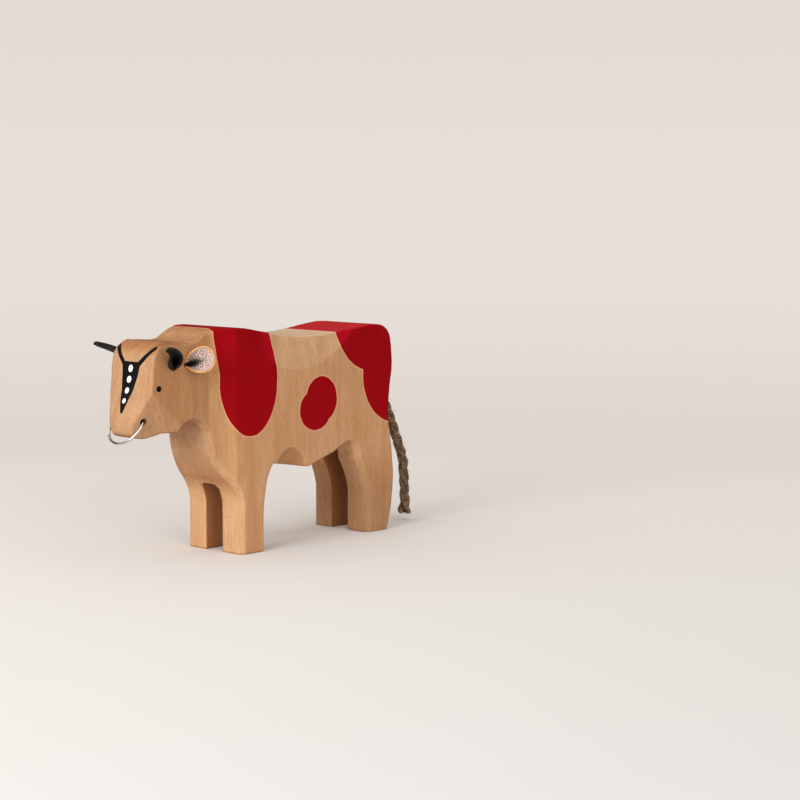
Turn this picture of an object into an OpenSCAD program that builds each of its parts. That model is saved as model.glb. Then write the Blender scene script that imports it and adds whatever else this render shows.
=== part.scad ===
// Carved wooden bull figurine: one shaped block with leather horns and ears,
// a wire nose ring that swings in a bore through the muzzle, and a cord tail.
// The head looks towards -X, the figure is symmetric about the plane Y = 0
// and it stands on Z = 0, with the origin under the middle of its box.

/* [Block] */
// Length of the carved block, from the nose to the rump
block_l = 135.4; // [120:0.2:150]
// Height of the block, from the soles to the withers
block_h = 89.6; // [80:0.2:98]
// Thickness of the board that the block is sawn from
block_w = 32; // [29:0.5:36]
// Width of the head and the front of the neck
head_w = 24; // [22:0.5:26]
// Length of a front sole, from toe to heel
front_foot_l = 11.7; // [10:0.1:14]
// Length of a hind sole, from toe to heel
hind_foot_l = 12; // [10:0.1:14]

/* [Leg slots] */
// Width of the slots that part the left legs from the right legs
slot_w = 9.5; // [7:0.5:12]
// Height of the slot between the front legs
front_slot_h = 27; // [22:0.5:28]
// Height of the slot between the hind legs
hind_slot_h = 39; // [30:0.5:40]
// Radius in the upper corners of both slots
slot_corner_r = 2.5; // [1:0.1:3.4]

/* [Sanded faces] */
// Radius of the drum that hollows the upper flanks
saddle_drum_r = 200; // [160:5:260]
// Lean of that drum away from upright, in degrees
saddle_lean = 10; // [7:0.5:13]
// Radius of the drum that hollows the flanks behind the front legs
girth_drum_r = 13; // [11:0.5:15]
// Lean of that drum away from upright, in degrees
girth_lean = 28; // [22:1:34]
// Radius across the face at the muzzle
muzzle_crown_r = 26; // [20:1:40]
// Radius across the face at the brow
brow_crown_r = 110; // [60:5:160]
// Turn of the muzzle's side faces towards the nose, in degrees
muzzle_turn = 16; // [12:0.5:20]
// Lean of the muzzle's side faces towards the chin, in degrees
muzzle_lean = 17; // [13:0.5:20]
// Broken edge along the chest and the front legs
chest_edge = 1.8; // [1:0.1:2.4]
// Broken edge down the fronts of the hind legs
hind_edge = 2.2; // [1:0.1:2.8]
// Broken edge of the head and neck, taken off their top
crest_edge_top = 2.3; // [1.2:0.1:3]
// Broken edge of the head and neck, taken off their sides
crest_edge_side = 1.1; // [0.5:0.1:1.6]

/* [Nose ring] */
// Thickness of the ring's wire
wire_d = 0.95; // [0.8:0.05:1.3]
// How far the wire's bends stand out of the muzzle, to the middle of the wire
ring_bend_out = 0.17; // [0.1:0.01:1]
// Distance from the bore to the middle of the ring
ring_drop = 1.7; // [1:0.1:2]
// Angle of the ring below the horizon at rest, in degrees
ring_rest = 54; // [40:1:80]
// Length of each wire end inside the bore
ring_pin_l = 4; // [2:0.5:6]
// Bore through the muzzle
ring_bore_d = 1.9; // [1.8:0.1:2.6]

/* [Horns] */
// Reach of a horn from the side of the head to its tip
horn_l = 15.4; // [13:0.2:18]
// Width of a horn's leather roll at its widest
horn_w = 5.3; // [4.6:0.1:6]
// Width of the roll at the tip
horn_tip_w = 1.9; // [1.6:0.1:2.6]
// Thickness of the horn leather
horn_leather = 1; // [0.8:0.1:1.1]
// Bore for a horn's root
horn_bore_d = 3.6; // [3:0.1:4.4]
// Depth of that bore
horn_bore_l = 5; // [4:0.5:7]

/* [Ears] */
// Length of an ear from the head to its tip
ear_l = 12.4; // [10:0.2:14]
// Width of the ear leather laid flat
ear_flat_w = 11.4; // [10.6:0.2:13]
// Thickness of the ear leather
ear_leather = 1.1; // [0.8:0.1:1.5]
// Bore for an ear's root
ear_bore_d = 3.2; // [2.8:0.1:4]
// Depth of that bore
ear_bore_l = 5; // [4:0.5:7]

/* [Tail] */
// Thickness of the tail cord
tail_d = 3.7; // [3:0.1:4.4]
// Depth of the bore that holds the tail cord
tail_bore_l = 8; // [6:0.5:10]
// Width of the frayed end of the cord
tail_tuft_w = 5.4; // [4.8:0.1:6.5]

/* [Fits] */
// Clearance round a root in its bore
root_gap = 0.05; // [0.03:0.01:0.1]

/* [Hidden] */

// One overrun serves every cut
over = 1;
// Turn between two points of a curved stretch of the outline, in degrees
arc_step = 5;
bore_fn = 48;
drum_fn = 360;
ring_fn = 96;
wire_fn = 24;
crown_step_share = 0.02;
// Steps to each side of the middle of the face, and of a leather roll
crown_steps = 6;
roll_steps = 6;

half_w = block_w / 2;
head_half_w = head_w / 2;

// Stations of the outline, as shares of the block's length and height
toe_x = 0.353 * block_l;
hind_toe_x = 0.879 * block_l;
heel_x = toe_x + front_foot_l;
hind_heel_x = hind_toe_x + hind_foot_l;

// Where the narrow head ends and where the full flank starts
neck_front_x = 0.257 * block_l;
neck_back_x = 0.338 * block_l;
function side_w(x) =
    x < neck_front_x ? head_half_w :
    x > neck_back_x ? half_w :
    head_half_w + (half_w - head_half_w) * (x - neck_front_x) / (neck_back_x - neck_front_x);

// A station: its place as shares of length and height, and how far the
// stretch that leads to it bows out, as a share of the height
function at(x_share, z_share, bow_share = 0) =
    [x_share * block_l, z_share * block_h, bow_share * block_h];
// A station on a leg: a place in from the toe or heel, at a share of the height
function leg_at(x, x_share, z_share, bow_share = 0) =
    [x + x_share * block_l, z_share * block_h, bow_share * block_h];

chest_run = [
    [toe_x, 0, 0],
    leg_at(toe_x, 0, 0.19),
    at(0.316, 0.327, -0.018),
    at(0.25, 0.514, 0.02),
    at(0.21, 0.599, -0.014),
    at(0.142, 0.563, -0.01)
];
jaw_run = [
    at(0.094, 0.563),
    at(0.047, 0.544, 0.002),
    at(0.02, 0.553, 0.002),
    at(0.003, 0.578, 0.006)
];
face_run = [
    at(0, 0.605, 0.001),
    at(0.03, 0.749, 0.005),
    at(0.048, 0.871, -0.002)
];
crest_run = [
    at(0.092, 0.954, 0.016),
    at(0.17, 0.946),
    at(0.227, 0.973, -0.009),
    at(0.279, 1, 0.004)
];
back_run = [
    at(0.382, 0.99, 0.003),
    at(0.5, 0.957),
    at(0.575, 0.941),
    at(0.752, 0.945, -0.006),
    at(0.885, 0.967, 0.002),
    at(0.925, 0.967, 0.001)
];
rump_run = [
    at(0.983, 0.908, 0.017),
    at(0.991, 0.748, 0.006),
    at(0.9765, 0.5, -0.009),
    at(0.9977, 0.27, 0.0045),
    at(0.994, 0.184, 0.001),
    [hind_heel_x, 0, 0.006 * block_h]
];
groin_run = [
    [hind_toe_x, 0, 0],
    leg_at(hind_toe_x, 0, 0.195),
    leg_at(hind_toe_x, -0.042, 0.346, -0.009),
    leg_at(hind_toe_x, -0.076, 0.446, -0.015)
];
belly_run = [
    leg_at(hind_toe_x, -0.142, 0.402, -0.004),
    at(0.622, 0.349),
    leg_at(heel_x, 0.041, 0.385),
    leg_at(heel_x, 0.012, 0.284, -0.007),
    leg_at(heel_x, 0.001, 0.134, -0.005),
    [heel_x, 0, 0]
];

function left_of(v) = [-v[1], v[0]] / norm(v);
// Points from station a to station b, on an arc that bows out by b's third value
function stretch(a, b) =
    let (
        p = [a[0], a[1]],
        q = [b[0], b[1]],
        bow = b[2],
        chord = norm(q - p),
        out = left_of(q - p),
        along = (q - p) / chord,
        half_turn = 2 * atan(2 * abs(bow) / chord),
        steps = max(1, ceil(2 * half_turn / arc_step)),
        r = bow == 0 ? 0 : (chord * chord / 4 + bow * bow) / (2 * abs(bow)),
        way = sign(bow),
        centre = (p + q) / 2 + out * (bow - way * r)
    )
    bow == 0 ? [q] :
    [for (i = [1:steps])
        let (turn = half_turn * (2 * i / steps - 1))
        centre + r * (out * way * cos(turn) + along * sin(turn))];
function run_points(run) =
    [for (i = [1:len(run) - 1]) each stretch(run[i - 1], run[i])];
// All stations of one run, led on from the last station of the run before
function led(before, run) = concat([before[len(before) - 1]], run);

chest_line = concat([[toe_x, 0]], run_points(chest_run));
crest_line = run_points(led(face_run, crest_run));
crest_edge_line = concat(
    [[face_run[2][0], face_run[2][1]]],
    crest_line,
    run_points([crest_run[3], back_run[0]])
);
// A line with points no farther apart than the step
function dense(line, step) = concat(
    [line[0]],
    [for (i = [1:len(line) - 1])
        let (n = ceil(norm(line[i] - line[i - 1]) / step))
        each [for (k = [1:n]) line[i - 1] + (line[i] - line[i - 1]) * k / n]]
);
crown_line = dense(
    concat(
        [[jaw_run[2][0], jaw_run[2][1]]],
        run_points([jaw_run[2], jaw_run[3]]),
        run_points(led(jaw_run, face_run)),
        run_points([face_run[2], crest_run[0]])
    ),
    crown_step_share * block_h
);
hind_line = concat([[hind_toe_x, 0]], run_points(groin_run));
outline = concat(
    chest_line,
    run_points(led(chest_run, jaw_run)),
    run_points(led(jaw_run, face_run)),
    crest_line,
    run_points(led(crest_run, back_run)),
    run_points(led(back_run, rump_run)),
    hind_line,
    run_points(led(groin_run, belly_run))
);

// Places on the block, as shares of its length and height
ring_share = [0.0355, 0.62];
horn_share = [0.122, 0.855];
ear_share = [0.177, 0.851];
tail_share = [0.9895, 0.735];
muzzle_share = [0.043, 0.741];
saddle_share = [0.59, 0.789];
girth_share = [0.554, 0.45];
girth_foot_share = 0.345;
hind_slot_share = 0.797;
// Height that the side face of the muzzle takes up, below its highest corner
muzzle_drop_share = 0.24;
// Heights between which the face flattens from the muzzle to the brow
crown_shares = [0.69, 0.84];
// Lengths of the fades at the ends of the broken edges on the legs and the
// face's crown, and of those on the crest
fade_share = 0.04;
crest_fade_share = 0.1;
// What is left of a cut's size at the end of its fade
fade_floor_share = 0.05;

function place(share) = [share[0] * block_l, share[1] * block_h];
ring_at = place(ring_share);
horn_at = place(horn_share);
ear_at = place(ear_share);
tail_at = place(tail_share);
muzzle_at = place(muzzle_share);
saddle_at = place(saddle_share);
girth_at = place(girth_share);

// Half of the muzzle's width at the ring's bore, and the radius of the ring
// that takes its bends just past it
muzzle_half_w = head_half_w
    - tan(muzzle_turn) * (muzzle_at[0] - ring_at[0])
    - tan(muzzle_lean) / cos(muzzle_turn) * (muzzle_at[1] - ring_at[1]);
ring_bend_y = muzzle_half_w + ring_bend_out;
ring_r = norm([ring_bend_y, ring_drop]);

// The box runs from the ring, ahead of the nose, to the farthest of the rump
ring_reach = (ring_drop + ring_r) * cos(ring_rest) + wire_d / 2 - ring_at[0];
rump_reach = max([for (p = outline) p[0]]);
origin_x = (rump_reach - max(0, ring_reach)) / 2;

function unit(v) = v / norm(v);
// The part of v that stands square to the unit vector a, as a unit vector
function square_to(a, v) = unit(v - (v * a) * a);

// A horn on the figure's left bends from one direction to the other, and its
// width lies level
horn_aims = [[-0.31, -0.87, 0.38], [-0.88, -0.2, 0.31]];
horn_level = [0.67, -0.74, 0];
// Share of the bend's two legs in the horn's reach
horn_leg_shares = [0.6, 0.53];
// Half of the horn's curl, in degrees
horn_curl = 70;
// The leather takes up at most this share of the roll's radius
horn_skive_share = 0.8;
// A round root's points towards the roll's opening spread over this share of
// it, and the floor of the roll's hollow stands out by a share of the leather
root_spread_share = 0.85;
floor_share = 0.3;
// Where the roll is widest, and its width at the root
horn_wide_share = 0.4;
horn_root_w_share = 0.8;
horn_steps = 10;

// An ear on the figure's left: its direction and the way its cup opens
ear_aim = unit([0.23, -0.9, 0.27]);
ear_open = square_to(ear_aim, [-1, 0, 0]);
// Half of the ear's curl, in degrees, at its root and its tip
ear_curls = [130, 40];
// Where the ear is widest, and its widths at the root and the tip
ear_wide_share = 0.6;
ear_end_shares = [0.54, 0.25];
ear_steps = 12;

// Tail route from its exit out of the wood, in hundredths of the block's
// height, chosen by hand. Its last point is the end of the cord.
tail_route = [
    [3.9, 0, -0.5],
    [6.9, 0, -2.6],
    [9.3, -0.7, -7],
    [10.9, -1, -12.5],
    [13.6, -2.2, -19],
    [16.8, -2.9, -26.8],
    [19.8, -3.3, -34.6],
    [22.7, -3.7, -42.4],
    [23.5, -4, -49.1],
    [23.9, -4.2, -56.9],
    [23.8, -4.5, -64.7],
    [23.5, -4.5, -70.3]
];
tail_unit = block_h / 100;
tail_sides = 8;
// The tuft's width over the cord's at the last points of the route
tuft_steps = [1.08, 1.25, 1];

module in_place() {
    translate([-origin_x, 0, 0]) children();
}

// Sends the Z axis along a direction
module aim_at(v) {
    rotate([0, acos(v[2] / norm(v)), atan2(v[1], v[0])]) children();
}

// Mirror image for the figure's right side
module other_side() {
    mirror([0, 1, 0]) children();
}

// Closed skin through rings of points, all rings of one length
module skin(rings) {
    n = len(rings[0]);
    m = len(rings);
    polyhedron(
        points = [for (ring = rings) each ring],
        faces = concat(
            [[for (i = [n - 1:-1:0]) i]],
            [for (j = [0:m - 2], i = [0:n - 1])
                each [
                    [j * n + i, j * n + (i + 1) % n, (j + 1) * n + (i + 1) % n],
                    [j * n + i, (j + 1) * n + (i + 1) % n, (j + 1) * n + i]
                ]],
            [[for (i = [0:n - 1]) (m - 1) * n + i]]
        ),
        convexity = 4
    );
}

// Outward direction of an outline at point i
function out_at(line, i) =
    let (
        a = line[max(0, i - 1)],
        b = line[min(len(line) - 1, i + 1)]
    )
    left_of(b - a);
// Full size at 1, fading over a fixed length towards a place on the outline
function fade(p, end, share) = max(fade_floor_share, min(1, norm(p - end) / (share * block_h)));
// Cutter that breaks the edge between the outline and the left side of the
// block; it fades at the line's last point, and at its first unless it
// starts on the ground
module edge_cut(line, on_side, on_front, share, from_ground = true) {
    last = len(line) - 1;
    skin([
        for (i = [0:last])
            let (
                p = line[i] + (from_ground && i == 0 ? [0, -over] : [0, 0]),
                out = out_at(line, i),
                size = fade(p, line[last], share) * (from_ground ? 1 : fade(p, line[0], share)),
                rim = p - out * on_side * size,
                in_side = [rim[0], -side_w(rim[0]), rim[1]],
                in_front = [p[0], -side_w(p[0]) + on_front * size, p[1]],
                slope = unit(in_side - in_front) * over / 2,
                corner = [p[0] + out[0] * over, -side_w(p[0]) - over, p[1] + out[1] * over]
            )
            [in_front - slope, in_side + slope, corner]
    ]);
}

// The sawn shape seen from the side, through the whole board
module sawn_block() {
    rotate([90, 0, 0])
        linear_extrude(height = block_w, center = true)
            polygon(outline);
}

// The shape seen from above, which narrows to the head
module plan_block() {
    translate([0, 0, -over])
        linear_extrude(height = block_h + 2 * over)
            polygon([
                [-over, -head_half_w],
                [neck_front_x, -head_half_w],
                [neck_back_x, -half_w],
                [block_l + over, -half_w],
                [block_l + over, half_w],
                [neck_back_x, half_w],
                [neck_front_x, head_half_w],
                [-over, head_half_w]
            ]);
}

// Slot between a pair of legs, with round upper corners
module leg_slot(from_x, to_x, h) {
    flat = slot_w / 2 - slot_corner_r;
    translate([from_x, 0, 0])
        rotate([90, 0, 90])
            linear_extrude(height = to_x - from_x)
                union() {
                    translate([-slot_w / 2, -over])
                        square([slot_w, h - slot_corner_r + over]);
                    translate([-flat, 0])
                        square([2 * flat, h]);
                    for (way = [-1, 1])
                        translate([way * flat, h - slot_corner_r])
                            circle(r = slot_corner_r, $fn = bore_fn);
                }
}

// Drum that hollows the left flank: it leans by the angle and just touches
// the flank at the given place
module drum_cut(place, r, lean, up, down) {
    translate([place[0], -half_w, place[1]])
        rotate([-lean, 0, 0])
            translate([0, -r, -down])
                cylinder(r = r, h = up + down, $fn = drum_fn);
}

// Side face of the muzzle on the left
module muzzle_cut() {
    reach = head_w;
    drop = muzzle_drop_share * block_h;
    translate([muzzle_at[0], -head_half_w, muzzle_at[1]])
        rotate([0, 0, -muzzle_turn])
            rotate([muzzle_lean, 0, 0])
                translate([-reach, -reach, -drop])
                    cube([2 * reach, reach, drop + reach]);
}

// Radius across the face at a height
function crown_r(z) =
    let (
        low = crown_shares[0] * block_h,
        high = crown_shares[1] * block_h,
        way = max(0, min(1, (z - low) / (high - low)))
    )
    1 / ((1 - way) / muzzle_crown_r + way / brow_crown_r);
// Cutter that rounds the face across its width, from the chin to the poll
module crown_cut() {
    last = len(crown_line) - 1;
    skin([
        for (i = [0:last])
            let (
                p = crown_line[i],
                out = out_at(crown_line, i),
                r = crown_r(p[1]),
                size = fade(p, crown_line[0], fade_share) * fade(p, crown_line[last], fade_share),
                reach = head_half_w + over
            )
            concat(
                [for (k = [crown_steps:-1:-crown_steps])
                    let (
                        y = reach * k / crown_steps,
                        in = size * (r - sqrt(r * r - y * y)) - root_gap * (1 - size)
                    )
                    [p[0] - out[0] * in, y, p[1] - out[1] * in]],
                [
                    [p[0] + out[0] * over, -reach, p[1] + out[1] * over],
                    [p[0] + out[0] * over, reach, p[1] + out[1] * over]
                ]
            )
    ]);
}

module root_bore(place, aim, d, deep) {
    translate([place[0], -head_half_w, place[1]])
        aim_at(aim)
            translate([0, 0, -deep])
                cylinder(d = d, h = deep + d + over, $fn = bore_fn);
}

// All cuts that lie on the left side and repeat on the right
module side_cuts() {
    girth_h = girth_at[1] - girth_foot_share * block_h;
    drum_cut(saddle_at, saddle_drum_r, saddle_lean, block_h - saddle_at[1] + over, over);
    drum_cut(girth_at, girth_drum_r, -girth_lean, over, girth_h / cos(girth_lean));
    muzzle_cut();
    edge_cut(chest_line, chest_edge, chest_edge, fade_share);
    edge_cut(hind_line, hind_edge, hind_edge, fade_share);
    edge_cut(crest_edge_line, crest_edge_side, crest_edge_top, crest_fade_share, false);
    root_bore(horn_at, horn_aims[0], horn_bore_d, horn_bore_l);
    root_bore(ear_at, [0, -1, 0], ear_bore_d, ear_bore_l);
}

module body() {
    color([0.78, 0.6, 0.42])
        in_place()
            difference() {
                intersection() {
                    sawn_block();
                    plan_block();
                }
                leg_slot(toe_x - half_w, heel_x + half_w, front_slot_h);
                leg_slot(hind_slot_share * block_l, block_l + over, hind_slot_h);
                crown_cut();
                side_cuts();
                other_side() side_cuts();
                translate([ring_at[0], 0, ring_at[1]])
                    rotate([90, 0, 0])
                        cylinder(d = ring_bore_d, h = head_w + 2 * over, center = true, $fn = bore_fn);
                translate([tail_at[0] - tail_bore_l, 0, tail_at[1]])
                    rotate([0, 90, 0])
                        cylinder(d = tail_d + 2 * root_gap, h = tail_bore_l + half_w, $fn = bore_fn);
            }
}

// A leather roll is an arc in section, open away from the direction back. Its
// points go round the outer face and come back along the inner one.
roll_points = 4 * roll_steps + 2;
flush_y = -head_half_w - root_gap;
function is_inner(k) = k > 2 * roll_steps;
function arc_share(k) = is_inner(k) ? (k - 3 * roll_steps - 1) / roll_steps : 1 - k / roll_steps;
function roll_point(back, across, r, thick, curl, k) =
    let (turn = curl * arc_share(k))
    (is_inner(k) ? r - thick : r) * (cos(turn) * back + sin(turn) * across);
// Rings of a roll that is cut flush with the side of the head; it sets out
// at the rate lead, and its hollow has a floor that stands out by rise
function flush_rings(shape, lead, steps, rise) =
    [for (i = [0:steps])
        [for (k = [0:roll_points - 1])
            let (
                cut_y = flush_y - (is_inner(k) ? rise : 0),
                start = (shape(0, k)[1] - cut_y) / -lead[1],
                p = shape(start + (1 - start) * i / steps, k)
            )
            i == 0 ? [p[0], cut_y, p[2]] : p]];
// Two rings of the round root, on the floor of its bore and at the side of the
// head. Points that lead on to the roll's inner face lie towards its opening.
function root_rings(base, aim, d, deep, roll_back, curl) =
    let (
        back = square_to(aim, roll_back),
        across = cross(aim, back)
    )
    [for (i = [0, 1])
        [for (k = [0:roll_points - 1])
            let (
                turn = is_inner(k) ?
                    180 + root_spread_share * (180 - curl) * -arc_share(k) :
                    curl * arc_share(k),
                p = base + (d / 2 - root_gap) * (cos(turn) * back + sin(turn) * across)
            )
            p + (i == 0 ? -deep : (flush_y - p[1]) / aim[1]) * aim]];

// Width of the horn's roll at share s of its length
function horn_width(s) =
    s < horn_wide_share ?
    horn_w * (horn_root_w_share + (1 - horn_root_w_share) * sin(90 * s / horn_wide_share)) :
    horn_tip_w + (horn_w - horn_tip_w) * cos(90 * (s - horn_wide_share) / (1 - horn_wide_share));
module horn() {
    base = [horn_at[0], -head_half_w, horn_at[1]];
    legs = [for (i = [0, 1]) horn_l * horn_leg_shares[i] * horn_aims[i]];
    shape = function(s, k)
        let (
            along = unit((1 - s) * legs[0] + s * legs[1]),
            back = cross(along, square_to(along, horn_level)),
            r = horn_width(max(0, s)) / 2,
            leather = min(horn_leather, horn_skive_share * r),
            centre = base + s * (2 - s) * legs[0] + s * s * legs[1]
        )
        centre + roll_point(back, cross(along, back), r, leather, horn_curl, k);
    aim = unit(horn_aims[0]);
    skin(concat(
        root_rings(base, aim, horn_bore_d, horn_bore_l, cross(aim, square_to(aim, horn_level)), horn_curl),
        flush_rings(shape, 2 * legs[0], horn_steps, floor_share * horn_leather)
    ));
}
module horn_left() {
    color([0.1, 0.09, 0.09]) in_place() horn();
}
module horn_right() {
    color([0.1, 0.09, 0.09]) in_place() other_side() horn();
}

// Width of the flat ear leather at share s of its length
function leaf(s) =
    s < ear_wide_share ?
    ear_end_shares[0] + (1 - ear_end_shares[0]) * sin(90 * s / ear_wide_share) :
    let (u = (s - ear_wide_share) / (1 - ear_wide_share), e = ear_end_shares[1])
    sqrt(1 - u * u * (1 - e * e));
module ear() {
    base = [ear_at[0], -head_half_w, ear_at[1]];
    across = cross(ear_open, ear_aim);
    shape = function(s, k)
        let (
            q = max(0, s),
            curl = ear_curls[1] + (ear_curls[0] - ear_curls[1]) * (1 - q) * (1 - q),
            mid_r = ear_flat_w * leaf(q) * 90 / (curl * PI),
            r = mid_r + ear_leather / 2,
            centre = base + ear_l * s * ear_aim + (r - ear_bore_d / 2 - root_gap) * ear_open
        )
        centre + roll_point(-ear_open, across, r, ear_leather, curl, k);
    skin(concat(
        root_rings(base, [0, -1, 0], ear_bore_d, ear_bore_l, -ear_open, ear_curls[0]),
        flush_rings(shape, ear_l * ear_aim, ear_steps, floor_share * ear_leather)
    ));
}
module ear_left() {
    color([0.85, 0.7, 0.62]) in_place() ear();
}
module ear_right() {
    color([0.85, 0.7, 0.62]) in_place() other_side() ear();
}

// An open loop of wire whose two ends turn inwards and lie in the bore
module nose_ring() {
    end_turn = acos(-ring_drop / ring_r);
    color([0.75, 0.75, 0.77])
        in_place()
            translate([ring_at[0], 0, ring_at[1]])
                rotate([0, 180 - ring_rest, 0])
                    union() {
                        translate([ring_drop, 0, 0])
                            rotate([0, 0, -end_turn])
                                rotate_extrude(angle = 2 * end_turn, $fn = ring_fn)
                                    translate([ring_r, 0])
                                        circle(d = wire_d, $fn = wire_fn);
                        for (way = [-1, 1])
                            translate([0, way * ring_bend_y, 0]) {
                                sphere(d = wire_d + root_gap, $fn = wire_fn);
                                rotate([way * 90, 0, 0])
                                    cylinder(d = wire_d, h = ring_pin_l, $fn = wire_fn);
                            }
                    }
}

// Cord in one sweep from the floor of its bore along the route
module tail() {
    exit = [tail_at[0], 0, tail_at[1]];
    points = concat(
        [exit - [tail_bore_l, 0, 0], exit],
        [for (step = tail_route) exit + step * tail_unit]
    );
    last = len(points) - 1;
    color([0.45, 0.33, 0.22])
        in_place()
            skin([
                for (i = [0:last])
                    let (
                        along = unit(points[min(last, i + 1)] - points[max(0, i - 1)]),
                        front = square_to(along, [0, -1, 0]),
                        side = cross(along, front),
                        k = i - last + len(tuft_steps) - 1,
                        wide = k < 0 ? tail_d / 2 : tuft_steps[k] * tail_tuft_w / 2,
                        deep = k < 0 ? tail_d / 2 : tuft_steps[k] * tail_d / 2
                    )
                    [for (n = [0:tail_sides - 1])
                        let (turn = 360 * n / tail_sides)
                        points[i] + wide * cos(turn) * side + deep * sin(turn) * front]
            ]);
}

body();
horn_left();
horn_right();
ear_left();
ear_right();
nose_ring();
tail();
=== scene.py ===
import math
import random

import bpy
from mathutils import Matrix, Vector, noise


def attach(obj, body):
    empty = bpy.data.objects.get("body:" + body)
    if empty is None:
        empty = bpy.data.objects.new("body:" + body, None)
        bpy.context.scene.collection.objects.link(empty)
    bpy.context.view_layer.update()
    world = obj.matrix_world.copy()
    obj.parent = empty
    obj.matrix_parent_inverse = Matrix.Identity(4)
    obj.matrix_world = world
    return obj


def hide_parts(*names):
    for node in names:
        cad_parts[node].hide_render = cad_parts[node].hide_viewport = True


# The looks of a carved wooden bull figurine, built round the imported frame.
# Lengths are metres, and values whose names end in _MM are millimetres.

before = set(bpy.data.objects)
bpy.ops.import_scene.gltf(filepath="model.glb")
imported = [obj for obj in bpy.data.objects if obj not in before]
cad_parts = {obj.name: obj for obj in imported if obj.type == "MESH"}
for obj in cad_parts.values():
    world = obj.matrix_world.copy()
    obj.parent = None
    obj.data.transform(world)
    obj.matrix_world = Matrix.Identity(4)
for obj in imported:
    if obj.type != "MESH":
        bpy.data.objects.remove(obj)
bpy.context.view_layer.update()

MM = 0.001
scene = bpy.context.scene
scene.view_settings.view_transform = "Standard"


# Camera, at the photograph's place and angle

CAMERA_AT = Vector((-0.5699, -0.6029, 0.1456))
CAMERA_YAW = math.radians(47.59)
CAMERA_DIP = math.radians(6.01)
CAMERA_LENS_MM = 93.6
SENSOR_MM = 36
NEAREST_SEEN = 0.05
FARTHEST_SEEN = 20


def add_camera():
    data = bpy.data.cameras.new("camera")
    data.lens = CAMERA_LENS_MM
    data.sensor_width = SENSOR_MM
    data.clip_start = NEAREST_SEEN
    data.clip_end = FARTHEST_SEEN
    camera = bpy.data.objects.new("camera", data)
    scene.collection.objects.link(camera)
    forward = Vector((
        math.sin(CAMERA_YAW) * math.cos(CAMERA_DIP),
        math.cos(CAMERA_YAW) * math.cos(CAMERA_DIP),
        -math.sin(CAMERA_DIP),
    ))
    camera.location = CAMERA_AT
    camera.rotation_mode = "QUATERNION"
    camera.rotation_quaternion = forward.to_track_quat("-Z", "Y")
    scene.camera = camera


# Handling of objects and meshes


def make_active(piece):
    for chosen in bpy.context.selected_objects:
        chosen.select_set(False)
    piece.select_set(True)
    bpy.context.view_layer.objects.active = piece


def apply_modifier(piece, kind, **settings):
    make_active(piece)
    modifier = piece.modifiers.new(kind.lower(), kind)
    for name, value in settings.items():
        setattr(modifier, name, value)
    bpy.ops.object.modifier_apply(modifier=modifier.name)


def shade_smooth(piece, angle=None):
    """Smooth all over, or only where faces meet at less than angle in degrees."""
    make_active(piece)
    if angle is None:
        bpy.ops.object.shade_smooth()
    else:
        bpy.ops.object.shade_smooth_by_angle(angle=math.radians(angle))


def give_materials(piece, materials):
    piece.data.materials.clear()
    for material in materials:
        piece.data.materials.append(material)


def seat_piece(piece, body, replaces=None):
    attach(piece, body)
    if replaces:
        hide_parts(replaces)


def mesh_piece(name, points, faces, turns):
    """A piece from points and faces, with a UV pair for each corner of a face."""
    mesh = bpy.data.meshes.new(name)
    mesh.from_pydata(points, [], faces)
    layer = mesh.uv_layers.new(name="along")
    for corner, pair in zip(layer.data, turns):
        corner.uv = pair
    mesh.update()
    piece = bpy.data.objects.new(name, mesh)
    scene.collection.objects.link(piece)
    return piece


# Lines in space


def spline(points, step):
    """A smooth line through the points, with its own points about step apart."""
    ends = [points[0] * 2 - points[1], *points, points[-1] * 2 - points[-2]]
    line = []
    for a, b, c, d in zip(ends, ends[1:], ends[2:], ends[3:]):
        count = max(2, math.ceil((c - b).length / step))
        for i in range(count):
            t = i / count
            line.append(
                0.5 * (2 * b + (c - a) * t + (2 * a - 5 * b + 4 * c - d) * t ** 2
                       + (3 * b - a - 3 * c + d) * t ** 3)
            )
    line.append(points[-1])
    return line


def carried_frames(line, first):
    """Tangent, normal and binormal at each point, turning as little as they can."""
    frames = []
    normal = first
    for i in range(len(line)):
        tangent = (line[min(i + 1, len(line) - 1)] - line[max(i - 1, 0)]).normalized()
        normal = (normal - tangent * normal.dot(tangent)).normalized()
        frames.append((tangent, normal, tangent.cross(normal)))
    return frames


def round_from(turn, normal, across):
    """The way out from a line's middle, at a turn round it."""
    return math.cos(turn) * normal + math.sin(turn) * across


def add_tube(points, faces, turns, line, radius_at, sides, first):
    """Adds a closed tube along the line. radius_at gives the radius at a ring and a turn."""
    base = len(points)
    run = 0
    runs_mm = []
    for i, (at, (_, normal, across)) in enumerate(zip(line, carried_frames(line, first))):
        run += (line[i] - line[i - 1]).length if i else 0
        runs_mm.append(run / MM)
        for k in range(sides):
            turn = 2 * math.pi * k / sides
            points.append(at + radius_at(i, turn) * round_from(turn, normal, across))
    for i in range(len(line) - 1):
        for k in range(sides):
            a, b = base + i * sides + k, base + i * sides + (k + 1) % sides
            faces.append((a, b, b + sides, a + sides))
            u0, u1 = k / sides, (k + 1) / sides
            v0, v1 = runs_mm[i], runs_mm[i + 1]
            turns += [(u0, v0), (u1, v0), (u1, v1), (u0, v1)]
    last = base + (len(line) - 1) * sides
    faces.append(tuple(base + k for k in reversed(range(sides))))
    faces.append(tuple(last + k for k in range(sides)))
    turns += [(k / sides, 0) for k in reversed(range(sides))]
    turns += [(k / sides, runs_mm[-1]) for k in range(sides)]


# Shader building


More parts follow.
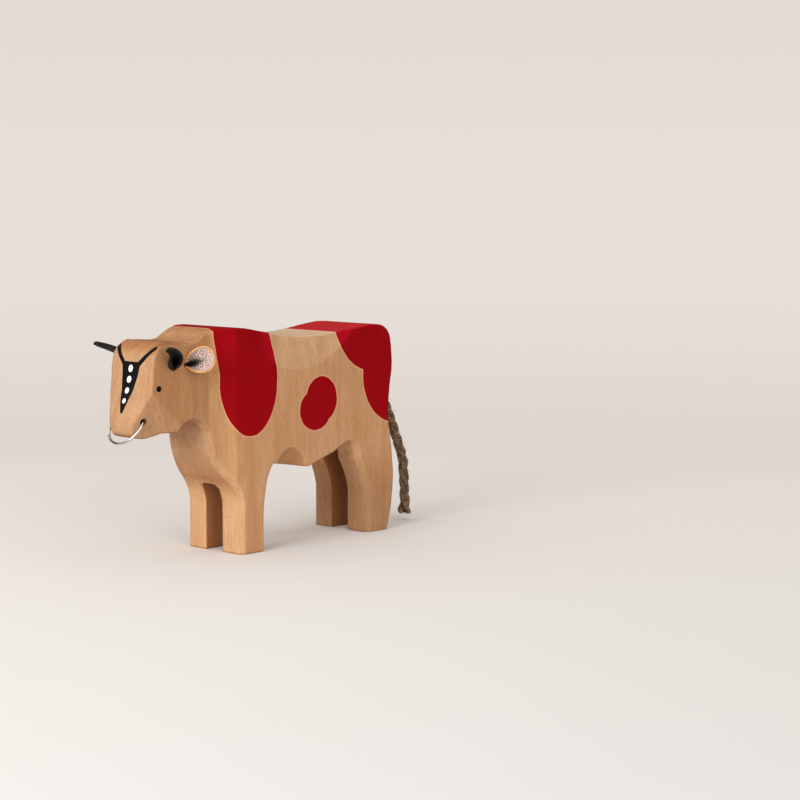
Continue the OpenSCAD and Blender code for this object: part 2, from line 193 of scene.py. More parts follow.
class Nodes:
    """Adds nodes to a node tree. A number or colour goes on the socket, a socket is linked."""

    def __init__(self, tree):
        self.tree = tree

    def put(self, socket, value):
        if isinstance(value, bpy.types.NodeSocket):
            self.tree.links.new(value, socket)
        elif value is not None:
            socket.default_value = value

    def add(self, kind, inputs=None, **settings):
        node = self.tree.nodes.new(kind)
        for name, value in settings.items():
            setattr(node, name, value)
        for name, value in (inputs or {}).items():
            self.put(node.inputs[name], value)
        return node

    def math(self, operation, a, b=None):
        node = self.add("ShaderNodeMath", operation=operation)
        for socket, value in zip(node.inputs, (a, b)):
            self.put(socket, value)
        return node.outputs[0]

    def sum(self, a, b):
        return self.math("ADD", a, b)

    def less(self, a, b):
        return self.math("SUBTRACT", a, b)

    def times(self, a, b):
        return self.math("MULTIPLY", a, b)

    def over(self, a, b):
        return self.math("DIVIDE", a, b)

    def higher(self, a, b):
        return self.math("MAXIMUM", a, b)

    def lower(self, a, b):
        return self.math("MINIMUM", a, b)

    def size(self, a):
        return self.math("ABSOLUTE", a)

    def hypot(self, a, b):
        return self.math("SQRT", self.sum(self.times(a, a), self.times(b, b)))

    def vectors(self, operation, a, b):
        node = self.add("ShaderNodeVectorMath", {0: a, 1: b}, operation=operation)
        return node.outputs["Value"]

    def parts(self, vector):
        return self.add("ShaderNodeSeparateXYZ", {"Vector": vector}).outputs

    def span(self, value, low, high, start=0.0, end=1.0, kind="SMOOTHSTEP"):
        """Value from low to high, turned into a number from start to end."""
        inputs = {"From Min": low, "From Max": high, "To Min": start, "To Max": end}
        node = self.add("ShaderNodeMapRange", inputs, interpolation_type=kind)
        self.put(node.inputs["Value"], value)
        return node.outputs["Result"]

    def until(self, value, low, high):
        """1 below low and 0 above high."""
        return self.span(value, low, high, 1.0, 0.0)

    def noise(self, vector, scale, detail=2.0, rough=0.5, distortion=0.0):
        inputs = {"Scale": scale, "Detail": detail, "Roughness": rough, "Distortion": distortion}
        node = self.add("ShaderNodeTexNoise", inputs)
        self.put(node.inputs["Vector"], vector)
        return node.outputs["Fac"]

    def mapped(self, vector, scale, turn=(0, 0, 0)):
        node = self.add("ShaderNodeMapping", {"Scale": scale, "Rotation": turn})
        self.put(node.inputs["Vector"], vector)
        return node.outputs[0]

    def mix(self, share, a, b, blend="MIX"):
        node = self.add("ShaderNodeMix", data_type="RGBA", blend_type=blend)
        self.put(node.inputs["Factor"], share)
        self.put(node.inputs["A"], a)
        self.put(node.inputs["B"], b)
        return node.outputs["Result"]

    def bump(self, height, strength, distance, normal=None):
        node = self.add("ShaderNodeBump", {"Strength": strength, "Distance": distance})
        self.put(node.inputs["Height"], height)
        self.put(node.inputs["Normal"], normal)
        return node.outputs[0]


def new_material(name):
    material = bpy.data.materials.new(name)
    material.use_nodes = True
    nodes = Nodes(material.node_tree)
    shader = material.node_tree.nodes["Principled BSDF"]
    return material, nodes, shader


def finish_shader(nodes, shader, tint, roughness, normal=None, specular=None):
    nodes.put(shader.inputs["Base Color"], tint)
    nodes.put(shader.inputs["Roughness"], roughness)
    nodes.put(shader.inputs["Normal"], normal)
    nodes.put(shader.inputs["Specular IOR Level"], specular)


def colour(red, green, blue):
    """A linear colour from screen values of 0 to 255."""
    return tuple(
        v / 12.92 if v <= 0.04045 else ((v + 0.055) / 1.055) ** 2.4
        for v in (red / 255, green / 255, blue / 255)
    ) + (1,)


# Fine nap, which the grain, flesh and edge of all the leather share

NAP_BROAD_SCALE_SHARE = 0.12
NAP_FINE_SHARE = 0.6
NAP_HEIGHT = 0.0003


def nap_group():
    tree = bpy.data.node_groups.new("leather_nap", "ShaderNodeTree")
    for name, way, kind in (
        ("Grain size", "INPUT", "NodeSocketFloat"),
        ("Depth", "INPUT", "NodeSocketFloat"),
        ("Shade", "OUTPUT", "NodeSocketFloat"),
        ("Normal", "OUTPUT", "NodeSocketVector"),
    ):
        tree.interface.new_socket(name, in_out=way, socket_type=kind)
    nodes = Nodes(tree)
    given = tree.nodes.new("NodeGroupInput")
    put_out = tree.nodes.new("NodeGroupOutput")
    place = nodes.add("ShaderNodeTexCoord").outputs["Object"]
    scale = nodes.over(1.0, given.outputs["Grain size"])
    fine = nodes.noise(place, scale, 3.0, 0.7)
    broad = nodes.noise(place, nodes.times(scale, NAP_BROAD_SCALE_SHARE))
    shade = nodes.sum(nodes.times(fine, NAP_FINE_SHARE), nodes.times(broad, 1 - NAP_FINE_SHARE))
    nodes.put(put_out.inputs["Shade"], shade)
    nodes.put(put_out.inputs["Normal"], nodes.bump(fine, given.outputs["Depth"], NAP_HEIGHT))
    return tree


# Painted marks. They are drawn from distances in millimetres, below 0 inside a mark.

RED_TOP_MM = (-13.45, 68, 14.25, 21.6)
RED_TOP_LEAN_FROM_MM = 3
RED_TOP_LEAN = 0.15
RED_SPOTS_MM = ((25.6, 57.9, 8.9, 9.4), (22.3, 54.0, 9.0, 8.3))
RED_RUMP_MM = ((56, 88, 21.2, 20.3), (70, 66, 20.0, 20.9))
HALTER_TIP_MM = 59.3
HALTER_TIP_HALF_MM = 0.85
HALTER_TOP_MM = 77.8
HALTER_WIDENS = 0.355
HALTER_CURVES = -0.0066
HALTER_STRAP_MM = ((4.5, 77.2), (10.3, 83.0))
HALTER_STRAP_HALF_MM = (0.98, 0.82)
HALTER_DOTS_MM = (
    (75.25, 1.2, 1.35),
    (71.15, 1.2, 1.25),
    (67.0, 1.1, 1.12),
    (63.17, 0.92, 0.95),
)
FACE_MARKS_TO_MM = -50.0
EYE_AT_MM = (-57.2, 67.9)
EYE_SIZE_MM = (1.25, 1.15)
EYES_FROM_MM = 9.0
BRUSH_EDGE_MM = 0.07
PEN_EDGE_MM = 0.06

BARE_RIM = colour(236, 172, 136)
RED_PAINT = (colour(145, 0, 9), colour(153, 0, 11))
# painted sheen on the red of the back's hollow
RED_HOLLOW_SHEEN = colour(178, 8, 30)
# painted sheen on the red of the rump's top
RED_RUMP_TOP_SHEEN = colour(196, 36, 36)
BLACK_PAINT = colour(15, 14, 15)
WHITE_PAINT = colour(242, 240, 236)


def oval(nodes, a, b, form):
    """Distance to an oval given by its middle and its half sizes."""
    at_a, at_b, half_a, half_b = form
    q = nodes.hypot(
        nodes.over(nodes.less(a, at_a), half_a),
        nodes.over(nodes.less(b, at_b), half_b),
    )
    return nodes.times(nodes.less(q, 1.0), min(half_a, half_b))


def red_marks(nodes, x, z):
    """The shoulder's tongue, which leans back above its middle, the spots and the rump."""
    at_x, at_z, half_x, half_z = RED_TOP_MM
    above = nodes.higher(nodes.less(z, at_z + RED_TOP_LEAN_FROM_MM), 0.0)
    below = nodes.higher(nodes.less(at_z, z), 0.0)
    lean = nodes.sum(nodes.less(x, at_x), nodes.times(above, RED_TOP_LEAN))
    q = nodes.hypot(nodes.over(lean, half_x), nodes.over(below, half_z))
    nearest = nodes.times(nodes.less(q, 1.0), half_x)
    for form in (*RED_SPOTS_MM, *RED_RUMP_MM):
        nearest = nodes.lower(nearest, oval(nodes, x, z, form))
    return nearest


def halter_marks(nodes, x, y, z):
    """A blaze that widens up the face to two straps."""
    across = nodes.size(y)
    up = nodes.less(z, HALTER_TIP_MM)
    half = nodes.sum(
        nodes.sum(nodes.times(up, HALTER_WIDENS), HALTER_TIP_HALF_MM),
        nodes.times(nodes.times(up, up), HALTER_CURVES),
    )
    blaze = nodes.less(across, half)
    blaze = nodes.higher(blaze, nodes.less(z, HALTER_TOP_MM))
    blaze = nodes.higher(blaze, nodes.times(up, -1.0))
    tip = nodes.less(nodes.hypot(y, up), HALTER_TIP_HALF_MM)
    (from_y, from_z), (to_y, to_z) = HALTER_STRAP_MM
    run = math.hypot(to_y - from_y, to_z - from_z)
    way = ((to_y - from_y) / run, (to_z - from_z) / run)
    off_y, off_z = nodes.less(across, from_y), nodes.less(z, from_z)
    along = nodes.sum(nodes.times(off_y, way[0]), nodes.times(off_z, way[1]))
    along = nodes.lower(nodes.higher(along, 0.0), run)
    strap = nodes.hypot(
        nodes.less(off_y, nodes.times(along, way[0])),
        nodes.less(off_z, nodes.times(along, way[1])),
    )
    strap = nodes.less(strap, nodes.span(along, 0.0, run, *HALTER_STRAP_HALF_MM, "LINEAR"))
    nearest = nodes.lower(nodes.lower(blaze, tip), strap)
    return nodes.higher(nearest, nodes.less(x, FACE_MARKS_TO_MM))


def halter_dots(nodes, x, y, z):
    dots = None
    for at_z, half_y, half_z in HALTER_DOTS_MM:
        dot = oval(nodes, y, z, (0, at_z, half_y, half_z))
        dots = dot if dots is None else nodes.lower(dots, dot)
    return nodes.higher(dots, nodes.less(x, FACE_MARKS_TO_MM))


# Beech. Scales of noise are per metre, and the grain runs up the block.

RING_GAP_MM = 3.4
PITH_AT_MM = (25, 70)
PITH_LEAN = (0.22, 0.07)
YEARS_WANDER = 1.6
BORE_AT_MM = (-61.88, 55.55)
SCORCH_MM = (0.9, 1.75)

BEECH_PALE = colour(205, 163, 122)
BEECH_WARM = colour(190, 143, 101)
BEECH_DEEP = colour(158, 106, 68)
BEECH_CLOUD = colour(196, 147, 103)
BEECH_BAND = colour(176, 126, 84)
FLECK_BROWN = colour(132, 84, 52)
PORE_BROWN = colour(126, 82, 52)
OILED_SIDE = colour(252, 244, 240)
HEAD_SIDE = colour(236, 233, 226)
# painted shade for the front of head and chest
HEAD_FRONT_SHADE = colour(232, 230, 234)
BROW = colour(255, 244, 230)
END_GRAIN = colour(212, 192, 184)
# paler milled wood with painted sheen for the back's hollow
HOLLOW_BACK_PALE_SHEEN = colour(224, 198, 170)
# painted shade for the belly's downward faces
BELLY_SHADE = colour(216, 202, 190)
# painted shade for the hind legs
HIND_LEG_SHADE = colour(210, 206, 207)
# painted shade for the inside of the leg slots
SLOT_SHADE = colour(202, 176, 148)
SCORCHED = colour(70, 32, 12)


class Board:
    """Where a point of the block lies in millimetres, which way it faces, and its grain."""

    def __init__(self, nodes):
        coords = nodes.add("ShaderNodeTexCoord")
        self.nodes = nodes
        self.place = coords.outputs["Object"]
        self.x, self.y, self.z = (
            nodes.times(part, 1 / MM) for part in nodes.parts(self.place)
        )
        facing = nodes.parts(coords.outputs["Normal"])
        self.up = facing[2]
        self.fore_n, self.side_n, self.up_n = (nodes.size(part) for part in facing)
        self.cloud = nodes.noise(self.place, 38)
        self.grown = self.upright(0.05, 420, 3.0, 0.6)
        self.streak = self.upright(0.09, 1500, 2.0, 0.6)
        self.flecks = nodes.span(self.upright(0.13, 2300, 1.0), 0.64, 0.74)
        self.late = self.late_wood()

        # the flat sides are planed, and sawn faces and facets aren't
        upright_face = nodes.until(self.up_n, 0.07, 0.16)
        self.planed = nodes.times(nodes.span(self.side_n, 0.88, 0.95), upright_face)
        self.sawn = nodes.less(1.0, self.planed)
        # the hollow of the back, which gets a paler tone and a painted sheen
        high = nodes.times(self.sawn, nodes.span(self.z, 58.0, 64.0))
        self.hollow_back = nodes.times(high, nodes.span(self.x, -10.0, 2.0))

        # saw and drum marks across the faces that look along the figure
        self.scrape = nodes.noise(nodes.mapped(self.place, (0.02, 0.06, 1)), 1100, 2.0, 0.6)
        self.fore = nodes.span(self.fore_n, 0.55, 0.9)

    def upright(self, share, scale, detail=2.0, rough=0.5):
        """Noise stretched up the block, with share of its scale along Z."""
        nodes = self.nodes
        return nodes.noise(nodes.mapped(self.place, (1, 1, share)), scale, detail, rough)

    def late_wood(self):
        """Growth rings round a leaning pith outside the block, which wander a little."""
        nodes = self.nodes
        drift = self.upright(0.35, 28)
        from_x, from_y = (
            nodes.less(nodes.less(part, at), nodes.times(self.z, lean))
            for part, at, lean in zip((self.x, self.y), PITH_AT_MM, PITH_LEAN)
        )
        years = nodes.sum(
            nodes.over(nodes.hypot(from_x, from_y), RING_GAP_MM),
            nodes.times(drift, YEARS_WANDER),
        )
        year = nodes.math("FRACT", years)
        late = nodes.times(nodes.span(year, 0.2, 0.85), nodes.until(year, 0.88, 1.0))
        return nodes.times(late, nodes.span(self.fore_n, 0.3, 0.7, 1.0, 0.4))


def bare_tint(nodes, board):
    """Rings, streaks, clouds, bands, flecks and pores of plain beech."""
    bands = nodes.span(board.upright(0.1, 230, 1.0), 0.46, 0.62)
    pores = nodes.span(board.upright(0.4, 5200, 0.0), 0.66, 0.78)
    tint = BEECH_PALE
    for mask, share, stain in (
        (board.late, 0.26, BEECH_WARM),
        (nodes.span(board.grown, 0.4, 0.72), 0.6, BEECH_WARM),
        (nodes.span(board.cloud, 0.35, 0.7), 0.5, BEECH_CLOUD),
        (bands, 0.22, BEECH_BAND),
        (nodes.span(board.streak, 0.45, 0.75), 0.32, BEECH_DEEP),
        (board.flecks, 0.26, FLECK_BROWN),
        (pores, 0.22, PORE_BROWN),
    ):
        tint = nodes.mix(nodes.times(mask, share), tint, stain)
    return tint


def head_masks(nodes, board):
    """The sides of head and neck, the sawn front of head and chest, which gets painted shade, and
    the brow.
    """
    x, z = board.x, board.z
    uneven_x = nodes.sum(x, nodes.times(board.cloud, 8.0))
    side = nodes.times(board.planed, nodes.until(uneven_x, -27.0, -17.0))
    level = nodes.span(board.up_n, 0.3, 0.6)
    brow = nodes.times(level, nodes.until(x, -52.0, -46.0))
    crest = nodes.times(level, nodes.span(x, -50.0, -44.0))
    crest = nodes.times(crest, nodes.span(z, 60.0, 70.0))
    # painted shade on the sawn front of head and chest
    front = nodes.times(board.sawn, nodes.until(x, -30.0, -22.0))
    front = nodes.times(nodes.times(front, nodes.span(z, 28.0, 38.0)), nodes.less(1.0, crest))
    return side, front, brow


def leg_masks(nodes, board):
    """Painted shade on the hind legs, low down and on their fronts, and in the sawn leg slots."""
    x, z = board.x, board.z
    # painted shade on the hind legs, low down and on their fronts
    hind = nodes.times(nodes.span(x, 32.0, 46.0), nodes.until(z, 14.0, 40.0))
    hind = nodes.times(hind, nodes.span(board.fore_n, 0.3, 0.7, 0.6, 1.0))
    # painted shade inside the sawn leg slots
    slot = nodes.times(nodes.until(nodes.size(board.y), 4.9, 5.3), nodes.until(z, 38.0, 40.0))
    slot = nodes.times(slot, nodes.until(board.fore_n, 0.4, 0.75))
    return hind, nodes.times(slot, 0.9)


def worked_tint(nodes, board, tint):
    """The wood's colour from its cut, the saw, the oil and the burnt bore, darker on the head's
    sides, with painted shade on the head's front, the belly, the hind legs and the slots, and
    painted sheen in the back's hollow.
    """
    x, z = board.x, board.z
    side, front, brow = head_masks(nodes, board)
    hind, slot = leg_masks(nodes, board)

    # end grain on the head's and neck's level faces, and hardly on the back
    end = nodes.sum(nodes.times(board.late, 0.3), 0.62)
    end = nodes.times(nodes.span(board.up_n, 0.3, 0.8), end)
    end = nodes.times(end, nodes.span(x, -22.0, 2.0, 1.0, 0.12))
    # the back's hollow: a faint paler tone all over, and painted sheen where it faces up
    pale_and_sheen_top = nodes.sum(nodes.times(nodes.span(board.up_n, 0.25, 0.5), 0.46), 0.05)
    # painted shade on the belly's downward faces, between the front and hind legs
    belly_shade = nodes.times(nodes.span(x, -24.0, -12.0), nodes.until(x, 34.0, 42.0))
    belly_shade = nodes.times(belly_shade, nodes.span(board.up, -0.5, -0.15, 0.75, 0.0))
    scraped = nodes.times(nodes.span(board.scrape, 0.5, 0.75), board.fore)
    bore = nodes.hypot(nodes.less(x, BORE_AT_MM[0]), nodes.less(z, BORE_AT_MM[1]))

    for mask, stain, blend in (
        (board.planed, OILED_SIDE, "MULTIPLY"),
        (side, HEAD_SIDE, "MULTIPLY"),
        (front, HEAD_FRONT_SHADE, "MULTIPLY"),
        (brow, BROW, "MULTIPLY"),
        (end, END_GRAIN, "MULTIPLY"),
        (nodes.times(board.hollow_back, pale_and_sheen_top), HOLLOW_BACK_PALE_SHEEN, "MIX"),
        (belly_shade, BELLY_SHADE, "MULTIPLY"),
        (hind, HIND_LEG_SHADE, "MULTIPLY"),
        (slot, SLOT_SHADE, "MULTIPLY"),
        (nodes.times(scraped, 0.14), BEECH_DEEP, "MIX"),
        (nodes.times(nodes.until(bore, *SCORCH_MM), 0.85), SCORCHED, "MIX"),
    ):
        tint = nodes.mix(mask, tint, stain, blend)
    return tint


def painted_tint(nodes, board, tint):
    """Red marks with a bare pale line round them, painted sheen on the red of the back's hollow
    and the rump's top, a black halter, dots and eyes.

    Gives the colour, and where there is paint."""
    x, y, z = board.x, board.y, board.z
    wobble = nodes.times(nodes.less(nodes.noise(board.place, 260), 0.5), 0.5)
    red = nodes.sum(red_marks(nodes, x, z), wobble)
    rim = nodes.times(nodes.until(red, 0.15, 0.5), 0.6)
    tint = nodes.mix(rim, tint, BARE_RIM)
    in_red = nodes.until(red, -BRUSH_EDGE_MM, BRUSH_EDGE_MM)
    brushed = nodes.span(board.upright(0.12, 300), 0.35, 0.7)
    red_tint = nodes.mix(brushed, *RED_PAINT)
    # painted sheen on the red of the back's hollow
    red_tint = nodes.mix(nodes.times(board.hollow_back, 0.6), red_tint, RED_HOLLOW_SHEEN)
    # painted sheen on the red of the rump's up-facing top
    rump_top_sheen = nodes.times(nodes.span(board.up_n, 0.5, 0.9), nodes.span(x, 28.0, 36.0))
    red_tint = nodes.mix(nodes.times(rump_top_sheen, 0.6), red_tint, RED_RUMP_TOP_SHEEN)
    tint = nodes.mix(in_red, tint, red_tint)

    halter = nodes.sum(halter_marks(nodes, x, y, z), nodes.times(wobble, 0.5))
    eye = oval(nodes, x, z, (*EYE_AT_MM, *EYE_SIZE_MM))
    eye = nodes.higher(eye, nodes.less(EYES_FROM_MM, nodes.size(y)))
    black = nodes.lower(halter, nodes.sum(eye, nodes.times(wobble, 0.3)))
    in_black = nodes.until(black, -PEN_EDGE_MM, PEN_EDGE_MM)
    tint = nodes.mix(in_black, tint, BLACK_PAINT)
    in_dots = nodes.until(halter_dots(nodes, x, y, z), -BRUSH_EDGE_MM, BRUSH_EDGE_MM)
    tint = nodes.mix(in_dots, tint, WHITE_PAINT)
    return tint, nodes.higher(in_red, nodes.higher(in_black, in_dots))


def wood_material():
    material, nodes, shader = new_material("wood_with_paint")
    board = Board(nodes)
    tint = worked_tint(nodes, board, bare_tint(nodes, board))
    tint, painted = painted_tint(nodes, board, tint)
    rough = nodes.span(painted, 0.0, 1.0, 0.52, 0.5, "LINEAR")
    rough = nodes.sum(nodes.times(board.grown, 0.12), rough)
    height = nodes.sum(nodes.times(board.streak, -0.5), nodes.times(board.flecks, -0.6))
    height = nodes.sum(height, nodes.times(nodes.times(board.scrape, board.fore), 0.5))
    filled = nodes.span(painted, 0.0, 1.0, 1.0, 0.35, "LINEAR")
    height = nodes.sum(nodes.times(height, filled), nodes.times(painted, 0.6))
    normal = nodes.bump(height, 0.35, 0.0001)
    finish_shader(nodes, shader, tint, rough, normal, specular=0.06)
    return material


# Leather, wire and jute

SUEDE_TINTS = (colour(206, 180, 168), colour(230, 206, 194))
SUEDE_DOT = colour(98, 70, 62)
# painted shade for the fold at the ear's root
SUEDE_FOLD_SHADE = colour(24, 15, 12)
DOTS_ACROSS = 13.5
DOTS_ALONG = 14.5
WIRE_TINTS = (colour(208, 204, 198), colour(156, 151, 145))
JUTE_TINTS = (colour(38, 23, 14), colour(180, 143, 110))
JUTE_SHADE = colour(74, 50, 34)


def add_nap(nodes, nap, grain, depth, tints):
    """Leather's mottled colour and its normal, from the shared nap."""
    group = nodes.add("ShaderNodeGroup", {}, node_tree=nap)
    nodes.put(group.inputs["Grain size"], grain)
    nodes.put(group.inputs["Depth"], depth)
    tint = nodes.mix(nodes.span(group.outputs["Shade"], 0.38, 0.62), *tints)
    return tint, group.outputs["Normal"]


def leather_material(name, tints, roughness, nap, grain, depth):
    material, nodes, shader = new_material(name)
    tint, normal = add_nap(nodes, nap, grain, depth, tints)
    finish_shader(nodes, shader, tint, roughness, normal, specular=0.3)
    return material


def suede_material(nap):
    """Pale flesh side of the ear, with fine rows of dots and painted shade in the fold at its
    root.
    """
    material, nodes, shader = new_material("ear_suede")
    blank = nodes.add("ShaderNodeUVMap", uv_map="UVMap").outputs[0]
    dots = nodes.add(
        "ShaderNodeTexVoronoi", {"Scale": 1.0, "Randomness": 0.45}, voronoi_dimensions="2D"
    )
    nodes.put(dots.inputs["Vector"], nodes.mapped(blank, (DOTS_ACROSS, DOTS_ALONG, 1)))
    dot = nodes.until(dots.outputs["Distance"], 0.16, 0.46)
    tint, nap_normal = add_nap(nodes, nap, 0.0003, 0.6, SUEDE_TINTS)
    tint = nodes.mix(nodes.times(dot, 0.95), tint, SUEDE_DOT)
    across, along, _ = nodes.parts(blank)
    # painted shade darkening the fold at the ear's root
    off = nodes.size(nodes.less(across, 0.5))
    fold = nodes.less(off, nodes.span(along, 0.05, 0.58, 0.26, -0.04, "LINEAR"))
    fold = nodes.times(nodes.until(fold, -0.14, 0.08), nodes.span(along, 0.14, 0.58, 1.0, 0.1))
    tint = nodes.mix(fold, tint, SUEDE_FOLD_SHADE)
    normal = nodes.bump(dot, -0.5, 0.0002, nap_normal)
    finish_shader(nodes, shader, tint, 0.92, normal, specular=0.2)
    return material


def wire_material():
    material, nodes, shader = new_material("bright_wire")
    place = nodes.add("ShaderNodeTexCoord").outputs["Object"]
    drawn = nodes.noise(place, 2600)
    tint = nodes.mix(nodes.span(nodes.noise(place, 420), 0.4, 0.7), *WIRE_TINTS)
    rough = nodes.span(drawn, 0.3, 0.75, 0.05, 0.16, "LINEAR")
    finish_shader(nodes, shader, tint, rough, nodes.bump(drawn, 0.12, 0.00005))
    nodes.put(shader.inputs["Metallic"], 1.0)
    return material


def jute_material():
    material, nodes, shader = new_material("jute")
    along = nodes.add("ShaderNodeUVMap", uv_map="along").outputs[0]
    place = nodes.add("ShaderNodeTexCoord").outputs["Object"]
    lean = nodes.mapped(along, (9, 0.55, 1), (0, 0, 0.3))
    fibre = nodes.noise(lean, 3.0, 3.0, 0.65, 0.4)
    tint = nodes.mix(nodes.span(fibre, 0.36, 0.64), *JUTE_TINTS)
    shade = nodes.span(nodes.noise(place, 650), 0.44, 0.62)
    tint = nodes.mix(nodes.times(shade, 0.75), tint, JUTE_SHADE)
    finish_shader(nodes, shader, tint, 0.85, nodes.bump(fibre, 1.0, 0.00028))
    return material


# Tail: three twisted strands along the route of the CAD tube, with a splayed end

TAIL_EXIT = (0.06729, 0.0, 0.06586)
TAIL_ROUTE = (
    (0.06729, 0.00000, 0.06586),
    (0.07078, 0.00000, 0.06541),
    (0.07347, 0.00000, 0.06353),
    (0.07562, -0.00063, 0.05959),
    (0.07706, -0.00090, 0.05466),
    (0.07948, -0.00197, 0.04884),
    (0.08234, -0.00260, 0.04185),
    (0.08503, -0.00296, 0.03486),
    (0.08763, -0.00332, 0.02787),
    (0.08835, -0.00358, 0.02187),
    (0.08870, -0.00376, 0.01488),
    (0.08862, -0.00403, 0.00789),
    (0.08835, -0.00403, 0.00287),
)
TAIL_IN_BORE = 0.004
TAIL_STEP = 0.00028
STRANDS = 3
STRAND_SIDES = 20
STRAND_OUT = 0.00100
STRAND_R = 0.00115
FIRST_TURN = 0.4
TWIST_PER_M = -2 * math.pi / 0.0165
LUMP_SHARE = 0.13
LUMP_L = 0.0042
SPLAY_L = 0.0036
SPLAY_OUT = 0.00185
SPLAY_R = 0.00138
ROUND_END_L = 0.0011
FLAT_END_SHARE = 0.02

TAIL_SEED = 11
HAIRS = 430
END_HAIRS = 130
HAIRS_FROM_SHARE = 0.08
END_HAIRS_FROM_SHARE = 0.965
HAIR_REACHES = (0.0007, 0.0009, 0.0012, 0.0018, 0.003)
END_HAIR_REACH = (0.0006, 0.0016)
HAIR_R = 0.00008
HAIR_THINS = 0.16
HAIR_STEPS = 4
HAIR_SIDES = 3


def tail_line():
    inside = Vector(TAIL_EXIT) - Vector((TAIL_IN_BORE, 0, 0))
    return spline([inside] + [Vector(p) for p in TAIL_ROUTE], TAIL_STEP)


def twist_strand(k, line, frames):
    """The middle line of one strand, and its radius at each point."""
    steps = [(b - a).length for a, b in zip(line, line[1:])]
    whole = sum(steps)
    run = 0
    strand = []
    radii = []
    for i, (at, (_, normal, across)) in enumerate(zip(line, frames)):
        run += steps[i - 1] if i else 0
        left = whole - run
        splay = max(0, 1 - left / SPLAY_L)
        out = STRAND_OUT + (SPLAY_OUT - STRAND_OUT) * math.sin(splay * math.pi / 2)
        lump = 1 + LUMP_SHARE * noise.noise(Vector((run / LUMP_L, k * 7.1, 3.3)))
        turn = 2 * math.pi * k / STRANDS + FIRST_TURN + TWIST_PER_M * run
        strand.append(at + out * lump * round_from(turn, normal, across))
        ending = max(0, 1 - left / ROUND_END_L)
        round_end = math.sqrt(max(FLAT_END_SHARE, 1 - ending ** 2))
        radii.append((STRAND_R + (SPLAY_R - STRAND_R) * splay ** 2) * lump * round_end)
    return strand, radii


def add_tail(material):
    line = tail_line()
    frames = carried_frames(line, Vector((0, -1, 0)))
    points, faces, turns = [], [], []
    strands = []
    for k in range(STRANDS):
        strand, radii = twist_strand(k, line, frames)
        strands.append(strand)

        def radius_at(i, turn, radii=radii, k=k):
            """Seven yarn ridges and four broader ones, which wind round the strand."""
            ridges = 0.07 * math.cos(7 * (turn + i * 0.045))
            return radii[i] * (1 + ridges + 0.05 * math.cos(4 * turn - i * 0.03 + k))

        add_tube(points, faces, turns, strand, radius_at, STRAND_SIDES, frames[0][1])
    tail = mesh_piece("tail_cord", points, faces, turns)
    shade_smooth(tail)
    give_materials(tail, [material])
    seat_piece(tail, "figure", "tail")
    fuzz = add_tail_fibres(strands, frames, material)


def add_tail_fibres(strands, frames, material):
    """Loose hairs that stand off the cord, and short ones at its splayed end."""
    chance = random.Random(TAIL_SEED)
    points, faces, turns = [], [], []
    count = len(frames)
    for n in range(HAIRS):
        at_end = n >= HAIRS - END_HAIRS
        low = int(count * (END_HAIRS_FROM_SHARE if at_end else HAIRS_FROM_SHARE))
        i = chance.randrange(low, count - 2)
        strand = strands[chance.randrange(STRANDS)]
        tangent, normal, across = frames[i]
        out = round_from(chance.uniform(0, 2 * math.pi), normal, across)
        start = strand[i] + out * STRAND_R * 0.7
        reach = chance.uniform(*END_HAIR_REACH) if at_end else chance.choice(HAIR_REACHES)
        lie = tangent * chance.uniform(-0.6, 1.6) + out.cross(tangent) * chance.uniform(-0.8, 0.8)
        hair = []
        for j in range(HAIR_STEPS + 1):
            s = j / HAIR_STEPS
            wave = out * reach * 0.2 * math.sin(5 * s + n)
            hair.append(start + out * reach * 0.55 * s + lie * reach * s * s * 0.8 + wave)
        add_tube(
            points, faces, turns, hair,
            lambda j, turn: HAIR_R * (1 - HAIR_THINS * j), HAIR_SIDES, across,
        )
    fuzz = mesh_piece("tail_fibres", points, faces, turns)
    shade_smooth(fuzz)
    give_materials(fuzz, [material])
    seat_piece(fuzz, "figure")
    return fuzz


# Carved block: the CAD body with its arrises rounded, in cells of about 0.6 mm

WELD_WITHIN = 0.000002
CELL_LEVELS = 8
CELL_FILL = 0.87
SANDING_SHARE = 0.5
SANDING_PASSES = 2


def add_block(material):
    block = bpy.data.objects.new("carved_block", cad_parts["body"].data.copy())
    scene.collection.objects.link(block)
    make_active(block)
    bpy.ops.object.mode_set(mode="EDIT")
    bpy.ops.mesh.select_all(action="SELECT")
    bpy.ops.mesh.remove_doubles(threshold=WELD_WITHIN)
    bpy.ops.object.mode_set(mode="OBJECT")
    apply_modifier(block, "REMESH", mode="SHARP", octree_depth=CELL_LEVELS, scale=CELL_FILL,
                   sharpness=1.0)
    apply_modifier(block, "SMOOTH", factor=SANDING_SHARE, iterations=SANDING_PASSES)
    shade_smooth(block)
    give_materials(block, [material])
    seat_piece(block, "figure", "body")


# Leather rolls. Each is a blank that is rolled up along its length and set in
# its bore. u goes across the blank from -1 to 1, and v along it from 0 to 1.

CUT_EDGE_SHARE = 0.22
CUT_EDGE_STEPS = 2
CUT_EDGE_ANGLE = math.radians(55)
LEATHER_SMOOTH_DEG = 50


